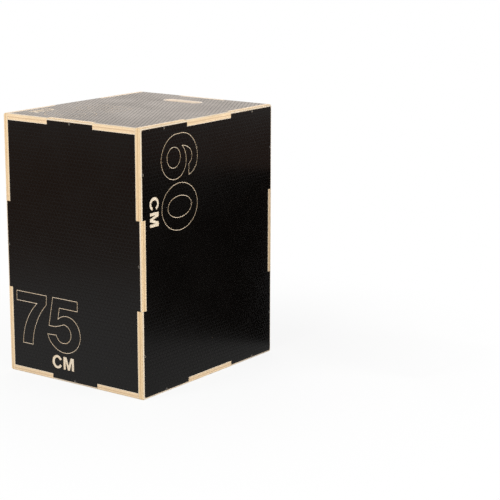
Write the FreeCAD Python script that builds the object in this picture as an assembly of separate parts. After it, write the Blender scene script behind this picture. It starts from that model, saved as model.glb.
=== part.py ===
import FreeCAD, Part
import os
from FreeCAD import Placement, Rotation, Vector

# A jump box of film-faced plywood: six boards finger-jointed along every edge and held by countersunk screws.
# Millimetres, +Z up, origin at the middle of the base. -Y is the front, +X the right side.

# Overall sizes of the box, which the routed marks repeat in centimetres
box_width = 500.0
box_depth = 600.0
box_height = 750.0

# Plywood and joints
board = 18.0
joint_clearance = 0.2
edge_round = 6.0

# Hand slots, through the top and the base, along the back edge
slot_length = 125.0
slot_width = 35.0
slot_from_back = 103.5
slot_rim_round = 6.0

# Wood screws
screw_length = 50.0
screw_head = 7.4
head_land = 0.6
screw_shank = 2.9
screw_core = 2.5
screw_thread = 4.0
thread_pitch = 2.5
thread_turns = 12
screw_tip = 5.0
screw_sink = 0.4
countersink_rim = 0.4
hole_clearance = 0.1
drive_width = 1.0
drive_length = 4.2
drive_depth = 1.8

# Routed size marks
mark_margin = 33.0
mark_foot = 37.0
letter_height = 37.0
letter_gap = 6.0
letter_inset = 26.5
digit_lift = 17.0
digit_height = 151.0
digit_gap = 12.0
groove_width = 1.7
groove_depth = 1.0

# Derived measures, about the centre of the box until it is set on its base
half_width = box_width / 2
half_depth = box_depth / 2
half_height = box_height / 2
seat = board + joint_clearance
screw_inset = board / 2
raise_to_base = Vector(0, 0, half_height)
millimetres_per_unit = 10
same_place = 1e-6

# Names of the two sides along each axis
ACROSS = (("left", -1), ("right", 1))
ALONG = (("front", -1), ("back", 1))
LEVELS = (("base", -1), ("top", 1))
ROWS = (("lower", -1), ("upper", 1))

# Each digit's width and outlines, in hundredths of the digit height.
# A pair of pairs is an arc: a point that it passes, then its end. An oval has its centre and its two radii.
DIGITS = {
    "0": (87, [("oval", (43.5, 49.5), 43.5, 51.5), ("oval", (43.5, 49.5), 20, 34)]),
    "1": (53, [[(28, 0), (53, 0), (53, 100), (34, 100), ((23, 85), (0, 80)), (0, 65), (28, 65)]]),
    "2": (78, [[(0, 0), (78, 0), (78, 18), (31, 18), ((60, 42), (77, 71)), ((40, 101.5), (2, 66)),
                (25, 64), ((39, 83.5), (53, 70)), ((37, 46), (4, 18))]]),
    "3": (81, [[(2, 70), (25, 70), ((39, 83.5), (52, 71.5)), ((46, 61), (30, 59)), (30, 43),
                ((49, 41), (57, 29.5)), ((40, 15), (23, 30)), (0, 30), ((38, -2.5), (81, 29)),
                ((75, 44), (62, 52)), ((72, 60), (76, 73)), ((40, 101.5), (2, 70))]]),
    "4": (85, [[(50, 0), (73, 0), (73, 22), (85, 22), (85, 39), (73, 39), (73, 100), (47, 100), (0, 40),
                (0, 22), (50, 22)],
               [(20, 39), (50, 39), (50, 76)]]),
    "5": (82, [[(15, 100), (76, 100), (76, 81.5), (31, 81.5), (27, 59.5), ((47, 68), (67, 62.5)),
                ((82, 34), (66, 4)), ((41, -3.5), (15, 6)), ((5, 16), (0, 27)), (22, 28),
                ((28, 18.5), (41.5, 15)), ((59, 33), (41, 51)), ((30, 47), (18, 44)), (4, 44)]]),
    "6": (82, [[(78.5, 76.5), (59, 76.5), ((44.5, 85.5), (29, 77.5)), ((24.5, 68), (22.5, 57)),
                ((34, 66), (47, 69)), ((72, 60), (82, 37)), ((73, 11), (41.5, -3)), ((9, 16), (0, 49)),
                ((9, 84), (41.5, 101.5)), ((67, 95), (78.5, 76.5))],
               ("oval", (42, 33), 19, 19)]),
    "7": (69, [[(0, 100), (76, 100), (75, 82), ((50, 46.5), (38.5, 0)), (13.5, 0), ((27, 50), (51.5, 81.5)),
                (0, 81.5)]]),
    "8": (82, [[(13, 53), ((9, 85), (41, 101.5)), ((73, 85), (69, 53)), ((80, 17), (41, -2.5)),
                ((2, 17), (13, 53))],
               ("oval", (41, 75), 16, 11), ("oval", (41, 27), 18, 14)]),
    "9": (82, [[(3.5, 22.5), (23, 22.5), ((37.5, 13.5), (53, 21.5)), ((57.5, 31), (59.5, 42)),
                ((48, 33), (35, 30)), ((10, 39), (0, 62)), ((9, 88), (40.5, 102)), ((73, 83), (82, 50)),
                ((73, 15), (40.5, -2.5)), ((15, 4), (3.5, 22.5))],
               ("oval", (40, 66), 19, 19)]),
}

# The two letters of the unit: each one's width and outline, in hundredths of the letter height
UNIT = [
    (97.5, [(97.5, 74), ((77, 96), (26, 96)), ((0, 50), (26, 4)), ((77, 4), (97.5, 26)), (76, 35),
            ((65, 20.5), (38, 20.5)), ((24.5, 50), (38, 79.5)), ((65, 79.5), (76, 65))]),
    (107, [(0, 0), (22.5, 0), (22.5, 64), (43, 0), (64, 0), (84.5, 64), (84.5, 0), (107, 0), (107, 100),
           (74, 100), (53.5, 36), (33, 100), (0, 100)]),
]


def block(size, centre):
    """A block of a size, about its centre."""
    corner = Vector(*centre) - Vector(*size) / 2
    return Part.makeBox(*size, corner)


def joined(pieces):
    """Pieces fused to one solid with no seams on its flat faces."""
    return pieces[0].multiFuse(pieces[1:]).removeSplitter()


def turned(profile):
    """A solid of revolution about Z from half of its section, given as radius and height."""
    points = [Vector(radius, 0, height) for radius, height in profile]
    section = Part.Face(Part.makePolygon(points + points[:1]))
    return section.revolve(Vector(0, 0, 0), Vector(0, 0, 1), 360)


# Boards, each on the side that its sign gives

def side_board(sign):
    """Left or right board: it holds the corners and the outer thirds of its edges, and is notched between."""
    middle = sign * (half_width - board / 2)
    slab = block((board, box_depth, box_height), (middle, 0, 0))
    notches = []
    for end in (-1, 1):
        notch_y = end * (half_depth - seat / 2)
        notch_z = end * (half_height - seat / 2)
        notches.append(block((board, seat, box_height / 3), (middle, notch_y, 0)))
        notches.append(block((board, box_depth / 3, seat), (middle, 0, notch_z)))
    return slab.cut(notches)


def end_board(sign):
    """Front or back board: a tab on the middle third of every edge."""
    middle = sign * (half_depth - board / 2)
    core = block((box_width - 2 * seat, board, box_height - 2 * seat), (0, middle, 0))
    side_tabs = block((box_width, board, box_height / 3 - 2 * joint_clearance), (0, middle, 0))
    level_tabs = block((box_width / 3 - 2 * joint_clearance, board, box_height), (0, middle, 0))
    return joined([core, side_tabs, level_tabs])


def level_finger():
    """Where a finger of the top or base starts and ends, from the middle of the front or back edge."""
    return box_width / 6, half_width - seat


def level_board(sign):
    """Top or base board: a tab on the middle of each side edge, two fingers on each end, and a hand slot."""
    middle = sign * (half_height - board / 2)
    core = block((box_width - 2 * seat, box_depth - 2 * seat, board), (0, 0, middle))
    tabs = block((box_width, box_depth / 3 - 2 * joint_clearance, board), (0, 0, middle))
    start, stop = level_finger()
    strips = []
    for side in (-1, 1):
        strip_x = side * (start + stop) / 2
        strips.append(block((stop - start, box_depth, board), (strip_x, 0, middle)))
    return with_hand_slot(joined([core, tabs] + strips), middle)


def with_hand_slot(slab, middle):
    """The board with its round-ended hand slot, whose rims are rounded on both faces."""
    slot_y = half_depth - slot_from_back
    straight = slot_length - slot_width
    foot = middle - board / 2
    slot = [block((straight, slot_width, board), (0, slot_y, middle))]
    for end in (-1, 1):
        slot.append(Part.makeCylinder(slot_width / 2, board, Vector(end * straight / 2, slot_y, foot)))
    opened = slab.cut(joined(slot))
    reach = FreeCAD.BoundBox(-slot_length / 2, slot_y - slot_width / 2, foot,
                             slot_length / 2, slot_y + slot_width / 2, foot + board)
    reach.enlarge(joint_clearance)
    rims = [edge for edge in opened.Edges
            if reach.isInside(edge.BoundBox) and edge.BoundBox.ZLength < joint_clearance]
    return opened.makeFillet(slot_rim_round, rims)


def rounded_envelope():
    """The whole box with every outer edge rounded over, as it is routed once the boards are joined."""
    whole = block((box_width, box_depth, box_height), (0, 0, 0))
    return whole.makeFillet(edge_round, whole.Edges)


# Screws, one in the middle of every finger, half a board from the edge and square to the face

def screw_places():
    """Each screw's name, the point on the face where it is driven, and the way in."""
    edge_x = half_width - screw_inset
    edge_y = half_depth - screw_inset
    edge_z = half_height - screw_inset
    finger_x = sum(level_finger()) / 2
    finger_y = box_depth / 3
    finger_z = box_height / 3
    places = []
    for side, x in ACROSS:
        inward = Vector(-x, 0, 0)
        for end, y in ALONG:
            for level, z in LEVELS:
                point = Vector(x * half_width, y * finger_y, z * edge_z)
                places.append((f"{side}_{level}_{end}", point, inward))
            for row, z in ROWS:
                point = Vector(x * half_width, y * edge_y, z * finger_z)
                places.append((f"{side}_{end}_{row}", point, inward))
    for end, y in ALONG:
        inward = Vector(0, -y, 0)
        for side, x in ACROSS:
            places.append((f"{end}_{side}", Vector(x * edge_x, y * half_depth, 0), inward))
        for level, z in LEVELS:
            places.append((f"{end}_{level}", Vector(0, y * half_depth, z * edge_z), inward))
    for level, z in LEVELS:
        inward = Vector(0, 0, -z)
        for side, x in ACROSS:
            places.append((f"{level}_{side}", Vector(x * edge_x, 0, z * half_height), inward))
            for end, y in ALONG:
                point = Vector(x * finger_x, y * edge_y, z * half_height)
                places.append((f"{level}_{end}_{side}", point, inward))
    return places


def driven(shape, point, inward):
    """A screw or its hole, drawn from the face at the origin and down -Z, set at its place."""
    copy = shape.copy()
    copy.Placement = Placement(point, Rotation(Vector(0, 0, -1), inward))
    return copy


def wood_screw():
    """A countersunk wood screw with a cross drive, a ringed thread and a pointed tip."""
    head_top = -screw_sink
    head_side = head_top - head_land
    head_foot = head_side - (screw_head - screw_shank) / 2
    tip = head_top - screw_length
    thread_top = tip + screw_tip + thread_turns * thread_pitch
    profile = [(0, head_top), (screw_head / 2, head_top), (screw_head / 2, head_side),
               (screw_shank / 2, head_foot), (screw_shank / 2, thread_top), (screw_core / 2, thread_top)]
    for turn in range(thread_turns):
        crest = thread_top - (turn + 0.5) * thread_pitch
        profile += [(screw_thread / 2, crest), (screw_core / 2, crest - thread_pitch / 2)]
    profile.append((0, tip))
    drive_middle = (0, 0, head_top - drive_depth / 2)
    arms = [block((drive_length, drive_width, drive_depth), drive_middle),
            block((drive_width, drive_length, drive_depth), drive_middle)]
    return turned(profile).cut(joined(arms))


def screw_hole():
    """The countersink and the bored hole that one screw sits in, open above the face."""
    mouth = screw_head / 2 + countersink_rim
    bore = screw_thread / 2 + hole_clearance
    opening = edge_round
    cone_top = countersink_rim - hole_clearance - screw_sink - head_land
    cone_foot = cone_top - (mouth - bore)
    end = -screw_sink - screw_length - hole_clearance
    return turned([(0, opening), (mouth, opening), (mouth, cone_top), (bore, cone_foot), (bore, end),
                   (0, end)])


# Size marks: a groove outlines each digit, and the letters of the unit are cleared as pockets

def outline_wire(steps, scale):
    """A closed outline of straight runs and arcs, at a scale."""
    def at(pair):
        return Vector(pair[0] * scale, pair[1] * scale, 0)

    here = at(steps[0])
    edges = []
    for step in steps[1:] + steps[:1]:
        is_arc = isinstance(step[0], tuple)
        there = at(step[1]) if is_arc else at(step)
        if not here.isEqual(there, same_place):
            curve = Part.Arc(here, at(step[0]), there) if is_arc else Part.LineSegment(here, there)
            edges.append(curve.toShape())
        here = there
    return Part.Wire(edges)


def oval_wire(centre, half_across, half_up):
    """A closed oval, taller than it is wide, or a circle."""
    middle = Vector(*centre, 0)
    if half_up - half_across < same_place:
        return Part.Wire([Part.makeCircle(half_across, middle)])
    top = middle + Vector(0, half_up, 0)
    side = middle + Vector(half_across, 0, 0)
    return Part.Wire([Part.Ellipse(top, side, middle).toShape()])


def groove_strip(outline, scale):
    """The flat strip that the cutter clears, half of its width on each side of an outline."""
    spread = groove_width / 2
    if outline[0] == "oval":
        centre = [place * scale for place in outline[1]]
        half_across, half_up = outline[2] * scale, outline[3] * scale
        outer = oval_wire(centre, half_across + spread, half_up + spread)
        inner = oval_wire(centre, half_across - spread, half_up - spread)
    else:
        path = outline_wire(outline, scale)
        outer = path.makeOffset2D(spread)
        inner = path.makeOffset2D(-spread)
    return Part.Face(outer).cut(Part.Face(inner))


def size_mark(size, run, from_end):
    """Cutters of one mark, in text axes from the face's corner: a size in centimetres, over its unit.

    The digits start one margin from the corner or, counted from the end, stop one margin short of the run.
    """
    digits = str(round(size / millimetres_per_unit))
    digit_scale = digit_height / 100
    letter_scale = letter_height / 100
    widths = [DIGITS[digit][0] * digit_scale for digit in digits]
    length = sum(widths) + digit_gap * (len(digits) - 1)
    left = run - mark_margin - length if from_end else mark_margin
    letter_end = left + length - letter_inset
    digit_foot = mark_foot + letter_height + digit_lift
    strips = []
    for digit, width in zip(digits, widths):
        for outline in DIGITS[digit][1]:
            strips.append(groove_strip(outline, digit_scale).translated(Vector(left, digit_foot, 0)))
        left += width + digit_gap
    for width, outline in reversed(UNIT):
        letter_start = letter_end - width * letter_scale
        pocket = Part.Face(outline_wire(outline, letter_scale))
        strips.append(pocket.translated(Vector(letter_start, mark_foot, 0)))
        letter_end = letter_start - letter_gap
    return [strip.extrude(Vector(0, 0, -groove_depth)) for strip in strips]


def on_face(cutters, corner, reading, upright):
    """Cutters laid on a face from its corner, along the text's reading and upright directions."""
    place = Placement(corner, Rotation(reading, upright, reading.cross(upright), "ZXY"))
    for cutter in cutters:
        cutter.Placement = place.multiply(cutter.Placement)
    return cutters


def marks():
    """Cutters of the three marks, by the board that they are routed in."""
    x, y, z = Vector(1, 0, 0), Vector(0, 1, 0), Vector(0, 0, 1)
    front_corner = Vector(-half_width, -half_depth, -half_height)
    right_corner = Vector(half_width, -half_depth, half_height)
    top_corner = Vector(-half_width, half_depth, half_height)
    return {
        "front_board": on_face(size_mark(box_height, box_width, False), front_corner, x, z),
        "right_board": on_face(size_mark(box_depth, box_height, False), right_corner, -z, y),
        "top_board": on_face(size_mark(box_width, box_depth, True), top_corner, -y, x),
    }


# Assembly

def all_pieces():
    """Every piece by name, as it stands in the finished box, about the centre of the box."""
    blanks = {
        "left_board": side_board(-1), "right_board": side_board(1),
        "front_board": end_board(-1), "back_board": end_board(1),
        "base_board": level_board(-1), "top_board": level_board(1),
    }
    envelope = rounded_envelope()
    routed = marks()
    places = screw_places()
    hole = screw_hole()
    holes = [driven(hole, point, inward) for _, point, inward in places]
    pieces = {}
    for name, blank in blanks.items():
        bored = [cutter for cutter in holes if cutter.BoundBox.intersect(blank.BoundBox)]
        pieces[name] = blank.common(envelope).cut(bored + routed.get(name, []))
    screw = wood_screw()
    for name, point, inward in places:
        pieces["screw_" + name] = driven(screw, point, inward)
    return pieces


os.makedirs("parts", exist_ok=True)
for name, piece in all_pieces().items():
    standing = piece.translated(raise_to_base)
    standing.exportStep(f"parts/{name}.step")
    print(f"{name}: {len(standing.Solids)} solid, {standing.Volume / 1000:.1f} cubic centimetres")
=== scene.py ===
# %% [markdown]
# # A plyo box of film-faced plywood
# This lesson dresses a jump box: six plywood boards, finger-jointed and screwed together, with a dark
# anti-slip film on their faces and bare birch wherever a cutter has been. The boards arrive as finished
# solids, in metres and in place, so the frame is loaded first and its box is kept.

# %% Load the frame
import math

import bpy
from mathutils import Euler, Matrix, Vector


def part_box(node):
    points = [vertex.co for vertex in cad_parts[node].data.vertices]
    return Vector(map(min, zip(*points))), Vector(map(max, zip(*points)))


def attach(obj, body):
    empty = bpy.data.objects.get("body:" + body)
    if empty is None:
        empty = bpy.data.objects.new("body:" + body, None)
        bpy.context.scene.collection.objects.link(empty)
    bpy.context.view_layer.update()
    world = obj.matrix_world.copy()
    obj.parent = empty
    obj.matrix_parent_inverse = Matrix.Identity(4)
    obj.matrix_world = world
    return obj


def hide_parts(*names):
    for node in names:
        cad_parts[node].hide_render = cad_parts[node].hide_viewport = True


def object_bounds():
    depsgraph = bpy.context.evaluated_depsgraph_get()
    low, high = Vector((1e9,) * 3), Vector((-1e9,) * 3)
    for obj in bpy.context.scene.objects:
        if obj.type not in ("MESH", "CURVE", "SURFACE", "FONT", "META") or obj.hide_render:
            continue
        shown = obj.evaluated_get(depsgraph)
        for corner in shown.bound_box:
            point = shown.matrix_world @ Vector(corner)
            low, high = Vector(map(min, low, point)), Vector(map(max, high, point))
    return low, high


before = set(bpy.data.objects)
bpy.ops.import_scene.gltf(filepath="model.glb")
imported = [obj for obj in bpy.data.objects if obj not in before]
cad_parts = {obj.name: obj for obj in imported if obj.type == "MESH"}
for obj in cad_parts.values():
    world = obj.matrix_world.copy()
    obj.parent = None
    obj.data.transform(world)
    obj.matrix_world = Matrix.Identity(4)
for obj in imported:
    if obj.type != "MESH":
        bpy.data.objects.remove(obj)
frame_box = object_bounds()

MILLIMETRE = 0.001
BOARDS = [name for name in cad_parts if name.endswith("_board")]
SCREWS = [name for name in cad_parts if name.startswith("screw_")]
box_sides = [round(side / MILLIMETRE) for side in frame_box[1] - frame_box[0]]
print(len(BOARDS), "boards and", len(SCREWS), "screws in a box of", box_sides, "mm")

# %% [markdown]
# ## Small helpers for shader nodes
# A procedural finish is a tree of nodes. Adding each node by hand takes three or four lines, so one
# helper adds a node and fills its inputs: a number is typed into the input, and another node's socket is
# linked to it. The others are shorthand for the nodes that every finish needs most: sums, sums of
# vectors, mixes and soft steps.

# %% Helpers for nodes
def set_inputs(tree, node, inputs):
    """Type each number into its input of a node, and link each socket to its input."""
    for socket, value in inputs.items():
        if isinstance(value, bpy.types.NodeSocket):
            tree.links.new(value, node.inputs[socket])
        else:
            node.inputs[socket].default_value = value


def place(tree, kind, inputs=None, **settings):
    """Add a node, set its properties, then its inputs."""
    node = tree.nodes.new("ShaderNode" + kind)
    for name, value in settings.items():
        setattr(node, name, value)
    set_inputs(tree, node, inputs or {})
    return node


def calc(tree, operation, *values, clamp=False):
    """The result of one Math node."""
    return place(tree, "Math", dict(enumerate(values)), operation=operation, use_clamp=clamp).outputs[0]


def calc_vector(tree, operation, *values):
    """The result of one Vector Math node."""
    return place(tree, "VectorMath", dict(enumerate(values)), operation=operation).outputs[0]


def length(tree, vector):
    """The length of a vector, by a Vector Math node."""
    return place(tree, "VectorMath", {0: vector}, operation="LENGTH").outputs["Value"]


def step(tree, value, start, end):
    """A soft step from 0 at the start to 1 at the end."""
    limits = {"Value": value, "From Min": start, "From Max": end}
    return place(tree, "MapRange", limits, interpolation_type="SMOOTHSTEP").outputs[0]


print("helpers for Math, Vector Math and Map Range nodes")

# %% Helpers for mixes
# A Mix node has two inputs and an output for each kind of data, with the same names, so numbers pick them.
MIX_SOCKETS = {"FLOAT": (2, 3, 0), "VECTOR": (4, 5, 1), "RGBA": (6, 7, 2)}


def mix(tree, kind, share, low, high):
    """What lies between two values of one kind, by a share."""
    first, second, result = MIX_SOCKETS[kind]
    return place(tree, "Mix", {0: share, first: low, second: high}, data_type=kind).outputs[result]


def mix_value(tree, share, low, high):
    """A number between two, by a share."""
    return mix(tree, "FLOAT", share, low, high)


def mix_colour(tree, share, low, high):
    """A colour between two, by a share."""
    return mix(tree, "RGBA", share, low, high)


print("helpers for mixes of", len(MIX_SOCKETS), "kinds of data")

# %% [markdown]
# ## Small helpers for node groups
# An effect that several finishes share is packed into a group, which then looks like one node with named
# sockets. By hand, nodes are selected and grouped. In code it is plainer to start with the empty group
# and its sockets, and to link the results to its outputs at the end, so there is one helper for each end.

# %% Helpers for node groups
def new_group(name, inputs, outputs):
    """An empty node group with named sockets: the group, what it is given, and what it gives."""
    group = bpy.data.node_groups.new(name, "ShaderNodeTree")
    for label, kind in inputs.items():
        group.interface.new_socket(label, in_out="INPUT", socket_type="NodeSocket" + kind)
    for label, kind in outputs.items():
        group.interface.new_socket(label, in_out="OUTPUT", socket_type="NodeSocket" + kind)
    given = group.nodes.new("NodeGroupInput").outputs
    gives = group.nodes.new("NodeGroupOutput").inputs
    return group, given, gives


def deliver(group, gives, **results):
    """Link a group's results to its named outputs."""
    for label, socket in results.items():
        group.links.new(socket, gives[label])
    print("node group", group.name, "with", len(group.nodes), "nodes")


print("helpers for node groups")

# %% [markdown]
# ## The grip: hexagon pads
# The film is pressed with a honeycomb: smooth hexagon pads in staggered rows, with rough channels between
# them that give shoes a hold. It could be modelled, but thousands of pads on each board would swamp the
# mesh, and they stand less than a tenth of a millimetre high, so they are drawn by arithmetic. The plane
# is folded onto one cell of each of two shifted grids, and the smaller of the two hexagon distances tells
# how far a point lies from the middle of its pad. A pad's side slopes from its foot to its top, at two
# shares of the channel's width from the edge of its cell.

# %% Hexagon grip group
ROW_REPEAT = math.sqrt(3)
HEXAGON_TURN = math.radians(60)
PAD_FOOT = 0.3
PAD_TOP = 0.7


def hexagon_grip_group():
    """1 on the pads and 0 in the channels."""
    group, given, gives = new_group("Hexagon grip",
                                    {"Vector": "Vector", "Pitch": "Float", "Channel": "Float"},
                                    {"Pad": "Float"})
    repeat = (1, ROW_REPEAT, 1)
    per_pitch = calc(group, "DIVIDE", 1, given["Pitch"])
    in_pitches = place(group, "VectorMath", {0: given["Vector"], "Scale": per_pitch},
                       operation="SCALE").outputs[0]

    def hexagon_distance(shift):
        """The distance to the nearest pad's middle in one grid, in pitches: 0.5 at the edge of a cell."""
        in_cells = calc_vector(group, "DIVIDE", in_pitches, repeat)
        shifted = calc_vector(group, "ADD", in_cells, (shift, shift, 0))
        folded = calc_vector(group, "SUBTRACT", calc_vector(group, "FRACTION", shifted), (0.5, 0.5, 0.5))
        side = place(group, "SeparateXYZ", {0: calc_vector(group, "MULTIPLY", folded, repeat)}).outputs
        x = calc(group, "ABSOLUTE", side["X"])
        y = calc(group, "ABSOLUTE", side["Y"])
        slant_x = calc(group, "MULTIPLY", x, math.cos(HEXAGON_TURN))
        slant_y = calc(group, "MULTIPLY", y, math.sin(HEXAGON_TURN))
        return calc(group, "MAXIMUM", x, calc(group, "ADD", slant_x, slant_y))

    nearest = calc(group, "MINIMUM", hexagon_distance(0), hexagon_distance(0.5))
    from_edge = calc(group, "MULTIPLY", calc(group, "SUBTRACT", 0.5, nearest), given["Pitch"])
    foot = calc(group, "MULTIPLY", given["Channel"], PAD_FOOT)
    top = calc(group, "MULTIPLY", given["Channel"], PAD_TOP)
    deliver(group, gives, Pad=step(group, from_edge, foot, top))
    return group


hexagon_grip = hexagon_grip_group()

# %% [markdown]
# ## The wood: birch plies
# Where a cutter has been, the board shows what it is made of: thirteen birch veneers, glued crosswise.
# From the edge they are stripes, light where the fibres run along and duller where they end, with thin
# dark glue lines between. Thirteen thin solids could be stacked, but one number can drive it all: the
# depth below the face. Its whole part names the veneer, and its odd or even count turns the grain, so the
# same group is right on a rounded edge, in a slot wall and on the floor of a groove. The two face veneers
# are picked for looks, so they are paler: they show in the grooves of the size marks. The core is
# heartwood, which draws a darker line along the middle of every edge.

# %% Birch colours and grain
# A grain has a dark and a light colour. A share tells how much of a colour is mixed in, and a spread tells
# from which value it starts and at which it is whole.
LONG_GRAIN = ((0.71, 0.525, 0.295, 1), (0.89, 0.700, 0.450, 1))
END_GRAIN = ((0.58, 0.405, 0.215, 1), (0.79, 0.590, 0.355, 1))
FACE_GRAIN = ((0.65, 0.540, 0.395, 1), (0.745, 0.650, 0.515, 1))
VENEER_TONE = (0.68, 0.480, 0.260, 1)
TONE_SHARE = 0.40
HEARTWOOD = (0.50, 0.310, 0.150, 1)
HEART_SHARE = 0.80
HEART_FADE = 0.50
CLOUD = (0.66, 0.475, 0.265, 1)
CLOUD_SHARE = 0.22
CLOUD_SPREAD = (0.45, 0.75)
GLUE = (0.24, 0.140, 0.070, 1)
GLUE_SHARE = 0.65
GLUE_SPREAD = (0.44, 0.49)
GRAIN_ALONG = 14
GRAIN_ACROSS = 700
FIBRE_HEIGHT = 0.05 * MILLIMETRE
FIGURE_SCALE = 22.0
NOISE_SPREAD = (0.30, 0.72)
print("birch grain", GRAIN_ACROSS // GRAIN_ALONG, "times finer across than along")

# %% Birch plies group
def birch_plies_group():
    """The colour of a ply, and the height of its fibres, on a board that lies flat."""
    group, given, gives = new_group("Birch plies",
                                    {"Vector": "Vector", "Ply": "Float", "Plies": "Float"},
                                    {"Color": "Color", "Height": "Float"})
    depth = calc(group, "MULTIPLY", place(group, "SeparateXYZ", {0: given["Vector"]}).outputs["Z"], -1)
    layer = calc(group, "DIVIDE", depth, given["Ply"])
    number = calc(group, "FLOOR", layer)
    turned = calc(group, "PINGPONG", number, 1)

    lengthwise = (GRAIN_ALONG, GRAIN_ACROSS, GRAIN_ACROSS)
    crosswise = (GRAIN_ACROSS, GRAIN_ALONG, GRAIN_ACROSS)
    stretch = mix(group, "VECTOR", turned, lengthwise, crosswise)
    fibre_place = calc_vector(group, "MULTIPLY", given["Vector"], stretch)
    fibre = place(group, "TexNoise", {"Vector": fibre_place, "W": number, "Scale": 1.0, "Detail": 4.0},
                  noise_dimensions="4D").outputs["Fac"]
    figure = place(group, "TexNoise",
                   {"Vector": given["Vector"], "W": number, "Scale": FIGURE_SCALE, "Detail": 2.0},
                   noise_dimensions="4D").outputs["Fac"]
    tone = place(group, "TexWhiteNoise", {"W": number}, noise_dimensions="1D").outputs["Value"]

    streak = step(group, fibre, *NOISE_SPREAD)
    long_grain = mix_colour(group, streak, *LONG_GRAIN)
    end_grain = mix_colour(group, streak, *END_GRAIN)
    inner = mix_colour(group, turned, long_grain, end_grain)
    toned = mix_colour(group, calc(group, "MULTIPLY", tone, TONE_SHARE), inner, VENEER_TONE)

    core = calc(group, "MULTIPLY", calc(group, "SUBTRACT", given["Plies"], 1), 0.5)
    from_core = calc(group, "ABSOLUTE", calc(group, "SUBTRACT", number, core))
    fade = calc(group, "MULTIPLY", from_core, HEART_FADE)
    hearted = mix_colour(group, calc(group, "SUBTRACT", HEART_SHARE, fade, clamp=True), toned, HEARTWOOD)
    is_face = calc(group, "GREATER_THAN", from_core, calc(group, "SUBTRACT", core, 0.5))
    veneer = mix_colour(group, is_face, hearted, mix_colour(group, streak, *FACE_GRAIN))

    cloud = calc(group, "MULTIPLY", step(group, figure, *CLOUD_SPREAD), CLOUD_SHARE)
    clouded = mix_colour(group, cloud, veneer, CLOUD)
    from_middle = calc(group, "ABSOLUTE", calc(group, "SUBTRACT", calc(group, "FRACT", layer), 0.5))
    glue = calc(group, "MULTIPLY", step(group, from_middle, *GLUE_SPREAD), GLUE_SHARE)
    deliver(group, gives, Color=mix_colour(group, glue, clouded, GLUE),
            Height=calc(group, "MULTIPLY", fibre, FIBRE_HEIGHT))
    return group


birch_plies = birch_plies_group()

# %% [markdown]
# ## A measure for rounded corners
# At a corner of the box the round-over swings from one edge to the next and takes the tip of the film
# with it, so the film ends in rounded corners. Four arcs could be drawn, but one distance is enough: how
# far a point lies past a smaller rectangle. Cut off at one distance, that is a rectangle with rounded
# corners. The same measure later finds the rims of the hand slots.

# %% Past rectangle group
FLATTEN = Vector((1, 1, 0))


def past_rectangle_group():
    """How far a point lies past a rectangle on the face, and 0 inside it."""
    group, given, gives = new_group("Past rectangle",
                                    {"Vector": "Vector", "Middle": "Vector", "Reach": "Vector"},
                                    {"Distance": "Float"})
    offset = calc_vector(group, "SUBTRACT", given["Vector"], given["Middle"])
    from_middle = calc_vector(group, "ABSOLUTE", offset)
    beyond = calc_vector(group, "SUBTRACT", from_middle, given["Reach"])
    past = calc_vector(group, "MAXIMUM", beyond, (0, 0, 0))
    deliver(group, gives, Distance=length(group, calc_vector(group, "MULTIPLY", past, FLATTEN)))
    return group


past_rectangle = past_rectangle_group()

# %% [markdown]
# ## Where the film is cut away
# The film is only on the two faces of a board. A mask for it could be painted, but every cut goes deeper
# than the film is thick, so the depth below the face already tells what a point is: film at the very top
# and bottom of the sheet, birch in between. A router leaves the film's edge a little uneven, so a fine
# noise is added to the depth before it is compared.

# %% Cut film group
FRAY_SCALE = 420.0


def cut_film_group():
    """1 where film is left on either face, and 1 where it is left on the outer face."""
    group, given, gives = new_group("Cut film",
                                    {"Vector": "Vector", "Film": "Float", "Sheet": "Float",
                                     "Spared": "Float"},
                                    {"Film": "Float", "Outside": "Float"})
    height = place(group, "SeparateXYZ", {0: given["Vector"]}).outputs["Z"]
    ragged = place(group, "TexNoise",
                   {"Vector": given["Vector"], "Scale": FRAY_SCALE, "Detail": 3.0}).outputs["Fac"]
    wander = calc(group, "MULTIPLY", calc(group, "SUBTRACT", ragged, 0.5), given["Film"])
    depth = calc(group, "ADD", calc(group, "MULTIPLY", height, -1), wander)
    outside = calc(group, "MULTIPLY", calc(group, "LESS_THAN", depth, given["Film"]), given["Spared"])
    inside = calc(group, "GREATER_THAN", depth, calc(group, "SUBTRACT", given["Sheet"], given["Film"]))
    deliver(group, gives, Film=calc(group, "MAXIMUM", outside, inside), Outside=outside)
    return group


cut_film = cut_film_group()

# %% [markdown]
# ## Handling marks
# Film and screws are touched, stacked and wiped, which leaves broad cloudy differences, mostly in gloss.
# Each finish could have a noise of its own, but the same soft clouds serve both, at different sizes, so
# they are a group.

# %% Handling marks group
def handling_marks_group():
    """Soft clouds of about one size, from 0 to 1."""
    group, given, gives = new_group("Handling marks", {"Vector": "Vector", "Size": "Float"},
                                    {"Smudge": "Float"})
    scale = calc(group, "DIVIDE", 1, given["Size"])
    clouds = place(group, "TexNoise",
                   {"Vector": given["Vector"], "Scale": scale, "Detail": 5.0, "Distortion": 0.6})
    deliver(group, gives, Smudge=step(group, clouds.outputs["Fac"], *NOISE_SPREAD))
    return group


handling_marks = handling_marks_group()

# %% [markdown]
# ## Laying the boards flat
# The boards of the box stand in every direction, while the groups work on a board that lies flat with its
# outer face at height zero. A UV map could lay the faces flat, but it has no depth for the cuts, so each
# board gets a Mapping node instead: the two directions along its face and the direction out of it are the
# rows of a turn, and the height of the face is taken off. Each board is also moved on along the pattern,
# so that no two are alike.

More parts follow.
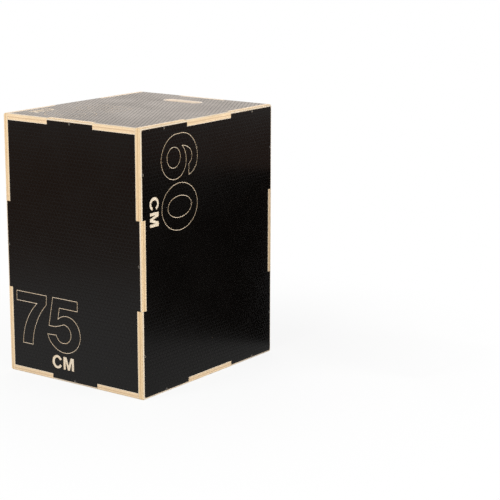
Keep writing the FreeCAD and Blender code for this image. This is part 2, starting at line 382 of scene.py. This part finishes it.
# %% Boards laid flat
# The directions to the right and up on each face, as it is seen from outside.
FACE_AXES = {
    "front_board": (Vector((1, 0, 0)), Vector((0, 0, 1))),
    "back_board": (Vector((-1, 0, 0)), Vector((0, 0, 1))),
    "left_board": (Vector((0, -1, 0)), Vector((0, 0, 1))),
    "right_board": (Vector((0, 1, 0)), Vector((0, 0, 1))),
    "top_board": (Vector((1, 0, 0)), Vector((0, 1, 0))),
    "base_board": (Vector((1, 0, 0)), Vector((0, -1, 0))),
}
SHEET_OFFSET = 0.731
SLOT_MIDDLE = Vector((0, 196.5, 0)) * MILLIMETRE


def laid_flat(tree, board, number):
    """A board's coordinates with its outer face at height zero, and its middle, slot and size laid flat."""
    along, up = FACE_AXES[board]
    turn = Matrix((along, up, along.cross(up)))
    ends = [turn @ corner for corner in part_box(board)]
    size = Vector(abs(side) for side in ends[1] - ends[0])
    face = max(end.z for end in ends)
    cut_from = Vector((number * SHEET_OFFSET, number * SHEET_OFFSET / 2, -face))
    coordinates = place(tree, "TexCoord").outputs["Object"]
    mapping = place(tree, "Mapping",
                    {"Vector": coordinates, "Location": cut_from, "Rotation": turn.to_euler()})
    return mapping.outputs[0], (ends[0] + ends[1]) / 2 + cut_from, turn @ SLOT_MIDDLE + cut_from, size


print("boards that can be laid flat:", ", ".join(FACE_AXES))

# %% [markdown]
# ## The film
# The film is paper in a dark resin, almost black, so what tells its pads from its channels is mainly how
# they shine. A bump alone would hardly show on something so dark, so the pads are also smoother and a
# little lighter, and smudges dull the film a little. Only the outer face of a board has pads.

# %% Film finish
GRIP_PITCH = 12.16 * MILLIMETRE
GRIP_CHANNEL = 2.8 * MILLIMETRE
GRIP_DEPTH = 0.08 * MILLIMETRE
CHANNEL_BLACK = (0.0016, 0.0013, 0.0011, 1)
PAD_BLACK = (0.0025, 0.0020, 0.0017, 1)
SMUDGED_BLACK = (0.0034, 0.0028, 0.0024, 1)
CHANNEL_ROUGHNESS = 0.40
PAD_ROUGHNESS = 0.22
SMUDGE_ROUGHNESS = 0.05
FILM_SMUDGE_SIZE = 0.14


def film_finish(tree, flat, outside):
    """The colour, roughness and height of the film."""
    pad = place(tree, "Group", {"Vector": flat, "Pitch": GRIP_PITCH, "Channel": GRIP_CHANNEL},
                node_tree=hexagon_grip).outputs["Pad"]
    grip = calc(tree, "MULTIPLY", pad, outside)
    smudge = place(tree, "Group", {"Vector": flat, "Size": FILM_SMUDGE_SIZE},
                   node_tree=handling_marks).outputs["Smudge"]
    pad_colour = mix_colour(tree, smudge, PAD_BLACK, SMUDGED_BLACK)
    colour = mix_colour(tree, grip, CHANNEL_BLACK, pad_colour)
    clean = mix_value(tree, grip, CHANNEL_ROUGHNESS, PAD_ROUGHNESS)
    roughness = calc(tree, "ADD", clean, calc(tree, "MULTIPLY", smudge, SMUDGE_ROUGHNESS))
    return colour, roughness, calc(tree, "MULTIPLY", grip, GRIP_DEPTH)


print("film with pads every", round(GRIP_PITCH / MILLIMETRE, 2), "mm")

# %% [markdown]
# ## The cut wood
# The rims of the two hand slots get painted light: at the slots the birch is mixed paler, so that the
# rims look brightly lit. No two sheets are quite alike, either. Each board could have a birch of its own,
# but one birch mixed with a paler one is enough, by a share for each board and a larger one, of painted
# light, at the slots.

# %% Wood finish
PLIES = 13
SLOT_REACH = Vector((75, 30, 0)) * MILLIMETRE
SLOT_BOARDS = ("top_board", "base_board")
# Painted light: near a slot, within this reach and by this share, the birch is mixed paler so that the rims
# look brightly lit.
PAINTED_LIGHT_REACH = 1.0 * MILLIMETRE
PALE_BIRCH = (0.91, 0.800, 0.720, 1)
PAINTED_LIGHT_PALENESS = 0.57
SHEET_PALENESS = {
    "front_board": 0.02,
    "back_board": 0.06,
    "left_board": 0.05,
    "right_board": 0.00,
    "top_board": 0.11,
    "base_board": 0.12,
}


def wood_finish(tree, board, flat, slot_middle, sheet):
    """The colour and height of a board's birch, with painted light at the rims of the slots."""
    birch = place(tree, "Group", {"Vector": flat, "Ply": sheet / PLIES, "Plies": PLIES},
                  node_tree=birch_plies).outputs
    paleness = SHEET_PALENESS[board]
    if board in SLOT_BOARDS:
        past_slot = place(tree, "Group", {"Vector": flat, "Middle": slot_middle, "Reach": SLOT_REACH},
                          node_tree=past_rectangle).outputs["Distance"]
        # Painted light: near the slot the birch is mixed paler, so that its rim looks brightly lit.
        painted_light = calc(tree, "LESS_THAN", past_slot, PAINTED_LIGHT_REACH)
        paleness = mix_value(tree, painted_light, paleness, PAINTED_LIGHT_PALENESS)
    return mix_colour(tree, paleness, birch["Color"], PALE_BIRCH), birch["Height"]


# The paler birch at the slots is painted light.
print("birch in", PLIES, "plies, sanded at the slots of", " and ".join(SLOT_BOARDS))

# %% [markdown]
# ## Film-faced plywood, one material for each board
# A board is film and birch in one piece. Its faces could be split between two materials, but the film's
# edge runs wherever the depth says, across the triangles of the mesh, so both finishes are in one
# material and are mixed by the film's mask, for colour, roughness, lacquer and relief. Each board needs a
# material of its own, because each is laid flat in its own way.

# %% Film-faced plywood
FILM_THICKNESS = 0.06 * MILLIMETRE
EDGE_ROUND = 6.0 * MILLIMETRE
FILM_CORNER = 7.0 * MILLIMETRE
WOOD_ROUGHNESS = 0.45
LACQUER = 0.35
LACQUER_ROUGHNESS = 0.28
SURFACE_SHINE = 0.18


def new_material(name):
    """A material with nodes, its tree, and its shader."""
    material = bpy.data.materials.new(name)
    material.use_nodes = True
    return material, material.node_tree, material.node_tree.nodes["Principled BSDF"]


def film_plywood(board, number):
    """The finish of one board: grip film on its faces, lacquered birch plies wherever it is cut."""
    material, tree, shader = new_material("film_plywood_" + board.removesuffix("_board"))
    flat, board_middle, slot_middle, size = laid_flat(tree, board, number)
    reach = size / 2 - FLATTEN * (EDGE_ROUND + FILM_CORNER)
    past_edge = place(tree, "Group", {"Vector": flat, "Middle": board_middle, "Reach": reach},
                      node_tree=past_rectangle).outputs["Distance"]
    spared = calc(tree, "LESS_THAN", past_edge, FILM_CORNER)
    cut = place(tree, "Group", {"Vector": flat, "Film": FILM_THICKNESS, "Sheet": size.z, "Spared": spared},
                node_tree=cut_film).outputs
    film = cut["Film"]
    film_colour, film_roughness, film_height = film_finish(tree, flat, cut["Outside"])
    wood_colour, wood_height = wood_finish(tree, board, flat, slot_middle, size.z)
    relief = mix_value(tree, film, wood_height, film_height)
    bump = place(tree, "Bump", {"Height": relief, "Distance": 1.0, "Strength": 1.0})
    set_inputs(tree, shader, {
        "Base Color": mix_colour(tree, film, wood_colour, film_colour),
        "Roughness": mix_value(tree, film, WOOD_ROUGHNESS, film_roughness),
        "Coat Weight": mix_value(tree, film, LACQUER, 0.0),
        "Coat Roughness": LACQUER_ROUGHNESS,
        "Specular IOR Level": SURFACE_SHINE,
        "Normal": bump.outputs["Normal"],
    })
    return material


for number, board in enumerate(BOARDS):
    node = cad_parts[board]
    node.data.materials.clear()
    node.data.materials.append(film_plywood(board, number))
print("dressed", ", ".join(BOARDS))

# %% [markdown]
# ## A wood screw: the blank
# Countersunk screws hold the fingers: a flat head, a cone that sinks into the wood, a plain shank, a
# thinner core and a point. It could be a profile spun round an axis, but extruding shows the steps of the
# turned steel more plainly: a short cylinder is the rim of the head, and its lower face is drawn down and
# resized, ring after ring. The screw is modelled once, upright, with the middle of its head at the
# origin.

# %% Screw blank
screw_low, screw_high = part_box(SCREWS[0])
screw_sides = sorted(screw_high - screw_low)
SCREW_LENGTH = screw_sides[2]
HEAD_RADIUS = screw_sides[0] / 2
HEAD_LAND = 0.6 * MILLIMETRE
SHANK_RADIUS = 1.45 * MILLIMETRE
CORE_RADIUS = 1.25 * MILLIMETRE
POINT_RADIUS = 0.1 * MILLIMETRE
SHANK_END = 15.0 * MILLIMETRE
TIP_LENGTH = 5.0 * MILLIMETRE
ROUND_SIDES = 32
FACING_DOWN = -0.9


def select_lower_faces(piece):
    """In edit mode, select just the faces that look down."""
    bpy.ops.object.mode_set(mode="EDIT")
    bpy.ops.mesh.select_mode(type="FACE")
    bpy.ops.mesh.select_all(action="DESELECT")
    bpy.ops.object.mode_set(mode="OBJECT")
    for face in piece.data.polygons:
        face.select = face.normal.z < FACING_DOWN
    bpy.ops.object.mode_set(mode="EDIT")


def screw_blank():
    """The screw before its recess and thread are cut."""
    bpy.ops.object.select_all(action="DESELECT")
    bpy.ops.mesh.primitive_cylinder_add(vertices=ROUND_SIDES, radius=HEAD_RADIUS, depth=HEAD_LAND,
                                        location=(0, 0, -HEAD_LAND / 2))
    blank = bpy.context.object
    bpy.ops.object.transform_apply(location=True, rotation=False, scale=False)
    select_lower_faces(blank)
    rings = [
        (HEAD_LAND + HEAD_RADIUS - SHANK_RADIUS, SHANK_RADIUS),
        (SHANK_END, SHANK_RADIUS),
        (SHANK_END + SHANK_RADIUS - CORE_RADIUS, CORE_RADIUS),
        (SCREW_LENGTH - TIP_LENGTH, CORE_RADIUS),
        (SCREW_LENGTH, POINT_RADIUS),
    ]
    depth, radius = HEAD_LAND, HEAD_RADIUS
    for next_depth, next_radius in rings:
        bpy.ops.mesh.extrude_region_move(TRANSFORM_OT_translate={"value": (0, 0, depth - next_depth)})
        ratio = next_radius / radius
        bpy.ops.transform.resize(value=(ratio, ratio, 1), center_override=(0, 0, 0))
        depth, radius = next_depth, next_radius
    bpy.ops.object.mode_set(mode="OBJECT")
    return blank


wood_screw = screw_blank()
print("screw blank", [round(side / MILLIMETRE, 2) for side in wood_screw.dimensions], "mm")

# %% [markdown]
# ## A wood screw: the cross recess
# A driver bit presses into a cross that narrows towards its floor. Cutting it by hand with insets would
# leave odd faces on the round head, so two tapered blades are subtracted instead, each a cube with a
# smaller lower face. The sharp edges that the cutter leaves are then rounded by a narrow bevel, so that
# they catch the light.

# %% Cross recess
RECESS_LENGTH = 4.2 * MILLIMETRE
RECESS_WIDTH = 1.0 * MILLIMETRE
RECESS_DEPTH = 1.8 * MILLIMETRE
RECESS_ABOVE = 0.2 * MILLIMETRE
RECESS_TAPER = (0.45, 0.7, 1)
EDGE_BREAK = 0.08 * MILLIMETRE
BREAK_SEGMENTS = 2
BREAK_ANGLE = math.radians(40)


def select_only(piece):
    """Deselect everything, then select one piece and make it the active one."""
    bpy.ops.object.select_all(action="DESELECT")
    bpy.context.view_layer.objects.active = piece
    piece.select_set(True)


def apply_modifier(piece, kind, **settings):
    """Add a modifier to a piece with its settings, and apply it at once."""
    select_only(piece)
    modifier = piece.modifiers.new(kind.lower(), kind)
    for name, value in settings.items():
        setattr(modifier, name, value)
    bpy.ops.object.modifier_apply(modifier=modifier.name)


def combine(piece, other, operation):
    """Join another piece onto this one, or cut it out, and remove the other."""
    apply_modifier(piece, "BOOLEAN", operation=operation, solver="EXACT", object=other)
    bpy.data.objects.remove(other)


def recess_blade(turn):
    """One arm of the cross, a cube that narrows downwards."""
    height = RECESS_DEPTH + RECESS_ABOVE
    bpy.ops.object.select_all(action="DESELECT")
    bpy.ops.mesh.primitive_cube_add(size=1, location=(0, 0, RECESS_ABOVE - height / 2),
                                    scale=(RECESS_LENGTH, RECESS_WIDTH, height))
    blade = bpy.context.object
    bpy.ops.object.transform_apply(location=True, rotation=False, scale=True)
    select_lower_faces(blade)
    bpy.ops.transform.resize(value=RECESS_TAPER, center_override=(0, 0, 0))
    bpy.ops.mesh.select_all(action="SELECT")
    bpy.ops.transform.rotate(value=turn, orient_axis="Z", center_override=(0, 0, 0))
    bpy.ops.object.mode_set(mode="OBJECT")
    return blade


for turn in (0, math.pi / 2):
    combine(wood_screw, recess_blade(turn), "DIFFERENCE")
apply_modifier(wood_screw, "BEVEL", width=EDGE_BREAK, segments=BREAK_SEGMENTS, limit_method="ANGLE",
               angle_limit=BREAK_ANGLE)
print("recess cut:", len(wood_screw.data.polygons), "faces")

# %% [markdown]
# ## A wood screw: the thread
# The thread is a ridge that winds down the core. Rings stacked along the core would look much the same
# from afar, but a Screw modifier does what a die does: it carries a small triangle round the axis and
# down by one pitch a turn. Its two open ends are closed, its faces are turned outwards, and the ridge is
# joined to the core, so that the screw is one closed skin.

# %% Thread
THREAD_RADIUS = 2.0 * MILLIMETRE
THREAD_SECTION = 0.7 * MILLIMETRE
THREAD_PITCH = 2.5 * MILLIMETRE
THREAD_TURNS = 11
SECTION_SIDES = 3
SMOOTH_ANGLE = math.radians(35)


def thread_ridge():
    """The coiled ridge, with its ends closed."""
    start = (THREAD_RADIUS - THREAD_SECTION, 0, -SHANK_END - THREAD_PITCH / 2)
    bpy.ops.object.select_all(action="DESELECT")
    bpy.ops.mesh.primitive_circle_add(vertices=SECTION_SIDES, radius=THREAD_SECTION, fill_type="NOTHING",
                                      location=start, rotation=(math.pi / 2, math.pi / 2, 0))
    ridge = bpy.context.object
    bpy.ops.object.transform_apply(location=True, rotation=True, scale=False)
    apply_modifier(ridge, "SCREW", axis="Z", screw_offset=-THREAD_PITCH, iterations=THREAD_TURNS,
                   steps=ROUND_SIDES, render_steps=ROUND_SIDES)
    bpy.ops.object.mode_set(mode="EDIT")
    bpy.ops.mesh.select_all(action="SELECT")
    bpy.ops.mesh.fill_holes(sides=SECTION_SIDES)
    bpy.ops.mesh.normals_make_consistent(inside=False)
    bpy.ops.object.mode_set(mode="OBJECT")
    return ridge


combine(wood_screw, thread_ridge(), "UNION")
bpy.ops.object.shade_smooth_by_angle(angle=SMOOTH_ANGLE)
print("threaded screw:", len(wood_screw.data.polygons), "faces,",
      [round(side / MILLIMETRE, 2) for side in wood_screw.dimensions], "mm")

# %% [markdown]
# ## Blackened steel
# The screws are black-phosphated: a thin dark matt coat, rubbed grey where the driver bit turned in the
# recess and where the rim of the head was dragged against the wood. Object coordinates would tie the wear
# to the place where a screw ends up, but it belongs to the screw, so each point keeps where it was made
# in an attribute, and the finish measures its distance from the axis and its depth below the head.

# %% Blackened steel
# A pair of distances tells where wear starts and where it is whole. Other pairs go from clean to smudged.
MADE_AT = "made_at"
STEEL_SMUDGE_SIZE = 3.0 * MILLIMETRE
RECESS_WEAR_RADIUS = (2.4 * MILLIMETRE, 1.2 * MILLIMETRE)
RECESS_WEAR_DEPTH = (2.0 * MILLIMETRE, 0.2 * MILLIMETRE)
RIM_WEAR_RADIUS = (3.5 * MILLIMETRE, 3.7 * MILLIMETRE)
RIM_WEAR = 0.5
WEAR_SPREAD = (0.5, 1.0)
COAT_COLOURS = ((0.010, 0.010, 0.011, 1), (0.035, 0.034, 0.033, 1))
COAT_ROUGHNESS = (0.55, 0.36)
COAT_METALLIC = 0.4
BARE_STEEL = (0.42, 0.41, 0.39, 1)
BARE_ROUGHNESS = 0.30


def blackened_steel():
    """The finish of the screws: a dark coat, smudged, and worn through to bare steel on the head."""
    material, tree, shader = new_material("blackened_steel")
    coordinates = place(tree, "TexCoord").outputs["Object"]
    smudge = place(tree, "Group", {"Vector": coordinates, "Size": STEEL_SMUDGE_SIZE},
                   node_tree=handling_marks).outputs["Smudge"]
    made = place(tree, "Attribute", attribute_name=MADE_AT, attribute_type="GEOMETRY").outputs["Vector"]
    off_axis = length(tree, calc_vector(tree, "MULTIPLY", made, FLATTEN))
    below = calc(tree, "MULTIPLY", place(tree, "SeparateXYZ", {0: made}).outputs["Z"], -1)
    in_recess = calc(tree, "MULTIPLY", step(tree, off_axis, *RECESS_WEAR_RADIUS),
                     step(tree, below, *RECESS_WEAR_DEPTH))
    on_rim = calc(tree, "MULTIPLY", step(tree, off_axis, *RIM_WEAR_RADIUS), RIM_WEAR)
    uneven = mix_value(tree, smudge, *WEAR_SPREAD)
    worn = calc(tree, "MULTIPLY", calc(tree, "MAXIMUM", in_recess, on_rim), uneven)
    coat = mix_colour(tree, smudge, *COAT_COLOURS)
    coat_roughness = mix_value(tree, smudge, *COAT_ROUGHNESS)
    set_inputs(tree, shader, {
        "Base Color": mix_colour(tree, worn, coat, BARE_STEEL),
        "Roughness": mix_value(tree, worn, coat_roughness, BARE_ROUGHNESS),
        "Metallic": mix_value(tree, worn, COAT_METALLIC, 1.0),
    })
    return material


places = wood_screw.data.attributes.new(MADE_AT, "FLOAT_VECTOR", "POINT")
for vertex in wood_screw.data.vertices:
    places.data[vertex.index].vector = vertex.co
wood_screw.data.materials.append(blackened_steel())
print("blackened steel, with", len(places.data), "points that know where they were made")

# %% [markdown]
# ## Drive the screws
# A screw sits in the middle of every finger. The screws could be placed by hand, but the frame tells
# where each one goes: its box is long along the way that it is driven, and its head is at the end that is
# further from the middle of the object. Every screw is a copy with its own mesh. No two stop at the same
# turn, so each is turned on by the golden angle, which never repeats. The place is then applied to the
# mesh.

# %% Drive the screws
GOLDEN_ANGLE = math.pi * (3 - math.sqrt(5))
middle = (frame_box[0] + frame_box[1]) / 2


def drive_screw(name, number):
    """A copy of the screw, set where a screw of the frame is."""
    low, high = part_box(name)
    centre = (low + high) / 2
    sides = list(high - low)
    axis = sides.index(max(sides))
    outward = Vector((0, 0, 0))
    outward[axis] = math.copysign(1, centre[axis] - middle[axis])
    screw = wood_screw.copy()
    screw.data = wood_screw.data.copy()
    screw.name = "wood_" + name
    bpy.context.scene.collection.objects.link(screw)
    screw.location = centre + outward * sides[axis] / 2
    upright = outward.to_track_quat("Z", "Y").to_matrix()
    screw.rotation_euler = (upright @ Matrix.Rotation(number * GOLDEN_ANGLE, 3, "Z")).to_euler()
    select_only(screw)
    bpy.ops.object.transform_apply(location=True, rotation=True, scale=False)
    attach(screw, "root")
    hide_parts(name)


for number, name in enumerate(SCREWS):
    drive_screw(name, number)
bpy.data.objects.remove(wood_screw)
print("drove", len(SCREWS), "screws")

# %% [markdown]
# ## A pale floor
# The box stands on a plain white floor. More light would whiten it, but would also bleach the box, so for
# the eye, and for whatever mirrors it, the floor is lifted towards pure white by its own light. Close to
# the box it keeps part of its lit surface, so the soft shadow at the foot stays, and further out the lift
# is whole.

# %% Floor
WHITE = (1, 1, 1, 1)
FLOOR_SIZE = 40.0
FLOOR_PAINT = (0.80, 0.80, 0.80, 1)
FLOOR_ROUGHNESS = 0.9
SHADOW_LIFT = 0.88
SHADOW_REACH = (0.45, 1.30)


def seen_directly(tree):
    """1 for rays from the camera, or by way of a mirror or glass, and 0 for light that scatters."""
    path = place(tree, "LightPath").outputs
    seen = calc(tree, "ADD", path["Is Camera Ray"], path["Is Glossy Ray"])
    return calc(tree, "ADD", seen, path["Is Transmission Ray"], clamp=True)


def pale_floor():
    """A matt pale paint that looks white, but keeps the shadow near the box."""
    material, tree, shader = new_material("pale_floor")
    set_inputs(tree, shader, {
        "Base Color": FLOOR_PAINT,
        "Roughness": FLOOR_ROUGHNESS,
        "Specular IOR Level": 0.0,
    })
    glow = place(tree, "Emission", {"Color": WHITE, "Strength": 1.0})
    away = length(tree, place(tree, "TexCoord").outputs["Object"])
    lift = mix_value(tree, step(tree, away, *SHADOW_REACH), SHADOW_LIFT, 1.0)
    lifted = calc(tree, "MULTIPLY", seen_directly(tree), lift)
    both = place(tree, "MixShader", {0: lifted, 1: shader.outputs[0], 2: glow.outputs[0]})
    tree.links.new(both.outputs[0], tree.nodes["Material Output"].inputs["Surface"])
    return material


bpy.ops.object.select_all(action="DESELECT")
bpy.ops.mesh.primitive_plane_add(size=FLOOR_SIZE, location=(0, 0, 0))
floor = bpy.context.object
floor.name = "floor"
floor.data.materials.append(pale_floor())
print("floor", FLOOR_SIZE, "m square, whole white from", SHADOW_REACH[1], "m out")

# %% [markdown]
# ## A white surround
# Behind the box there is only white, with no horizon. A backdrop could be bent up from the floor, but a
# white world looks the same from every side. As light it is much dimmer than it looks, so that the lamps
# shape the box.

# %% White surround
FILL_LIGHT = 0.38

world = bpy.data.worlds.new("white_surround")
bpy.context.scene.world = world
world.use_nodes = True
sky = world.node_tree
sky.nodes.clear()
fill = place(sky, "Background", {"Color": WHITE, "Strength": FILL_LIGHT})
white = place(sky, "Background", {"Color": WHITE, "Strength": 1.0})
surround = place(sky, "MixShader", {0: seen_directly(sky), 1: fill.outputs[0], 2: white.outputs[0]})
place(sky, "OutputWorld", {"Surface": surround.outputs[0]})
print("surround white to look at, and a fill of", FILL_LIGHT)

# %% [markdown]
# ## What the dark film mirrors: a warm screen
# A dark, half-glossy face shows mostly what it mirrors. Its shine could be painted on, but then it would
# stay put when the view moves, so it is shaped with cards, as a photographer does. The first is a low
# warm screen all round, outside the white floor that the foot of the box mirrors. Only mirrored rays meet
# it: it is hidden from the camera, throws no shadow and gives no light.

# %% Warm screen
SCREEN_RADIUS = 1.55
SCREEN_HEIGHT = 0.60
SCREEN_SIDES = 64
SCREEN_FRONT = ((0.33, 0.186, 0.122, 1), (0.49, 0.280, 0.192, 1))
SCREEN_BEHIND = (0.287, 0.167, 0.126, 1)


def stage_card(card, name, paint, mirrored=True):
    """Give a stage card its colour, and show it to mirrored rays alone, or let it do nothing but shade."""
    material, tree, _ = new_material(name)
    glow = place(tree, "Emission", {"Color": paint(tree), "Strength": 1.0})
    tree.links.new(glow.outputs[0], tree.nodes["Material Output"].inputs["Surface"])
    card.name = name
    card.data.materials.append(material)
    card.visible_camera = False
    card.visible_diffuse = False
    card.visible_transmission = False
    card.visible_glossy = mirrored
    card.visible_shadow = not mirrored
    print("card", name, [round(side, 2) for side in card.dimensions])


def screen_colour(tree):
    """The screen is dim behind on the right, and in front on the left it grows lighter upwards."""
    at = place(tree, "SeparateXYZ", {0: place(tree, "TexCoord").outputs["Object"]}).outputs
    up = step(tree, at["Z"], -SCREEN_HEIGHT / 2, SCREEN_HEIGHT / 2)
    behind = step(tree, calc(tree, "ADD", at["X"], at["Y"]), -SCREEN_RADIUS / 2, SCREEN_RADIUS / 2)
    return mix_colour(tree, behind, mix_colour(tree, up, *SCREEN_FRONT), SCREEN_BEHIND)


bpy.ops.object.select_all(action="DESELECT")
bpy.ops.mesh.primitive_cylinder_add(vertices=SCREEN_SIDES, radius=SCREEN_RADIUS, depth=SCREEN_HEIGHT,
                                    end_fill_type="NOTHING", location=(0, 0, SCREEN_HEIGHT / 2))
stage_card(bpy.context.object, "warm_screen", screen_colour)

# %% [markdown]
# ## What the dark film mirrors: a flag and a floor card
# The right side goes almost black in its middle and stays dark down to its foot. A darker film would
# spoil the other sides, so a black flag stands close to this side, and a grey card on the floor next to
# it takes the place of the white that its foot would mirror. Like the screen, both are there for mirrored
# rays alone.

# %% Black flag and grey floor card
BLACK = (0, 0, 0, 1)
GREY = (0.55, 0.55, 0.55, 1)
FLAG_FROM = Vector((0.29, 0.38, 0))
FLAG_TO = Vector((0.80, 0.08, 0))
FLAG_HEIGHT = 0.54
FLOOR_CARD_MIDDLE = (0.58, 0.02, 0.001)
FLOOR_CARD_SIZE = (0.64, 0.80, 1)


def flat_card(middle_at, size, turn=(0, 0, 0)):
    """A rectangle, by its middle, its size and its turn."""
    bpy.ops.object.select_all(action="DESELECT")
    bpy.ops.mesh.primitive_plane_add(size=1, location=middle_at, rotation=turn)
    card = bpy.context.object
    card.scale = size
    bpy.context.view_layer.update()
    return card


along_flag = FLAG_TO - FLAG_FROM
flag_middle = (FLAG_FROM + FLAG_TO) / 2 + Vector((0, 0, FLAG_HEIGHT / 2))
flag_turn = (math.pi / 2, 0, math.atan2(along_flag.y, along_flag.x))
black_flag = flat_card(flag_middle, (along_flag.length, FLAG_HEIGHT, 1), flag_turn)
stage_card(black_flag, "black_flag", lambda tree: BLACK)
floor_card = flat_card(FLOOR_CARD_MIDDLE, FLOOR_CARD_SIZE)
stage_card(floor_card, "grey_floor_card", lambda tree: GREY)

# %% [markdown]
# ## Studio light
# Four large softboxes make the plain, even light of a product picture: a key high in front, which reaches
# into the hand slot and the routed marks, a lower fill on the right, a rear one for the edges behind, and
# a low warm one, which the dark top mirrors at a shallow angle. Small lamps would be simpler, but they
# throw hard shadows. The film mirrors no other lamp, so that it stays dark from every side. The light
# that falls on the box is set so that a colour renders about as it is written.

# %% Softboxes
def softbox(name, stand, width, height, watts, tint=(1, 1, 1), mirrored=False):
    """A large rectangular lamp that faces the box, is hidden from the camera, and may show in the film."""
    lamp = bpy.data.lights.new(name, "AREA")
    lamp.shape = "RECTANGLE"
    lamp.size = width
    lamp.size_y = height
    lamp.energy = watts
    lamp.color = tint
    holder = bpy.data.objects.new(name, lamp)
    bpy.context.scene.collection.objects.link(holder)
    holder.location = stand
    holder.rotation_euler = (middle - Vector(stand)).to_track_quat("-Z", "Y").to_euler()
    holder.visible_camera = False
    holder.visible_glossy = mirrored
    print(name, watts, "W")


softbox("key", stand=(-0.4, -4.3, 3.1), width=3.5, height=2.5, watts=195)
softbox("fill", stand=(3.8, 0.8, 1.3), width=2.0, height=2.0, watts=102)
softbox("rear", stand=(-2.6, 3.4, 3.0), width=2.5, height=2.0, watts=55)
softbox("low", stand=(-2.8, 3.5, 2.0), width=4.0, height=2.2, watts=22.5, tint=(1.0, 0.79, 0.61),
        mirrored=True)

# %% [markdown]
# ## A shade for the back edge
# The edge at the back of the right side is greyer than the other edges, so less light has to reach it. A
# weaker lamp would dull the whole side, so a narrow card stands far out, between that edge and the lamp
# on the right, and hides part of the lamp from the edge. This card does nothing but shade: no mirrored
# ray meets it.

# %% Shade for the back edge
SHADE_MIDDLE = (0.75, 0.53, 0.40)
SHADE_SIZE = (0.42, 0.80, 1)
SHADE_TURN = (math.pi / 2, 0, math.pi / 2)

edge_shade = flat_card(SHADE_MIDDLE, SHADE_SIZE, SHADE_TURN)
stage_card(edge_shade, "edge_shade", lambda tree: BLACK, mirrored=False)

# %% [markdown]
# ## Camera
# The camera stands where the picture was taken: 36 degrees round to the right and 13 degrees above the
# box, with a long lens. It could be aimed at the box by a constraint, but its place and turn are known
# better than that: they come from the known sides of the box, fitted to the edges in a 500 by 500 pixel
# picture.

# %% Camera
CAMERA_PLACE = (2.9791, -3.5519, 1.3866)
CAMERA_AZIMUTH = math.radians(36.088)
CAMERA_ELEVATION = math.radians(12.812)
CAMERA_ROLL = math.radians(0.104)
CAMERA_LENS = 117.01
SENSOR_WIDTH = 36.0

lens = bpy.data.cameras.new("camera")
lens.lens = CAMERA_LENS
lens.sensor_width = SENSOR_WIDTH
camera = bpy.data.objects.new("camera", lens)
bpy.context.scene.collection.objects.link(camera)
camera.location = CAMERA_PLACE
level = Euler((math.pi / 2 - CAMERA_ELEVATION, 0, CAMERA_AZIMUTH)).to_matrix()
camera.rotation_euler = (level @ Matrix.Rotation(CAMERA_ROLL, 3, "Z")).to_euler()
bpy.context.scene.camera = camera
bpy.context.scene.view_settings.view_transform = "Standard"
print("camera", round((Vector(CAMERA_PLACE) - middle).length, 2), "m from the middle of the box")
